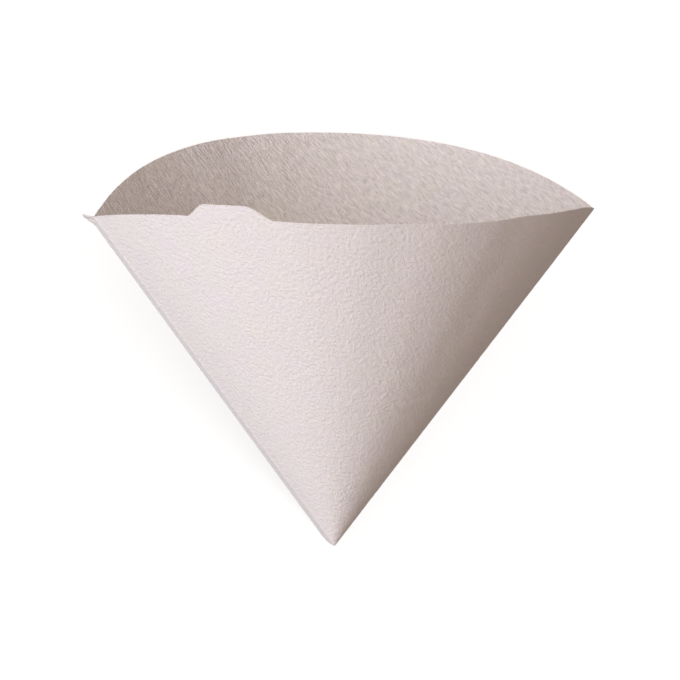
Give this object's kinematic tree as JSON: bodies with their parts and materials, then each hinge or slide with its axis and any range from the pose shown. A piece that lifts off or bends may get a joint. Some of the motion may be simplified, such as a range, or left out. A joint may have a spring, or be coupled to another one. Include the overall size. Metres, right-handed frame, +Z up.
{
  "type": "paper coffee filter",
  "caption": "Cone coffee filter of crepe paper, opened, with a crimped side seam and a small tab on the rim for opening it.",
  "frame": {"origin": "bottom centre of the object's box, as it lies on its back panel", "axes": "+Z up from the surface it lies on, +Y from the tip to the mouth, +X from the seam to the fold"},
  "size_m": [0.1416, 0.1196, 0.0948],
  "materials": {
    "crepe_paper": "matt creped off-white paper"
  },
  "bodies": {
    "root": {"filter_paper": "crepe_paper"}
  },
  "joints": []
}
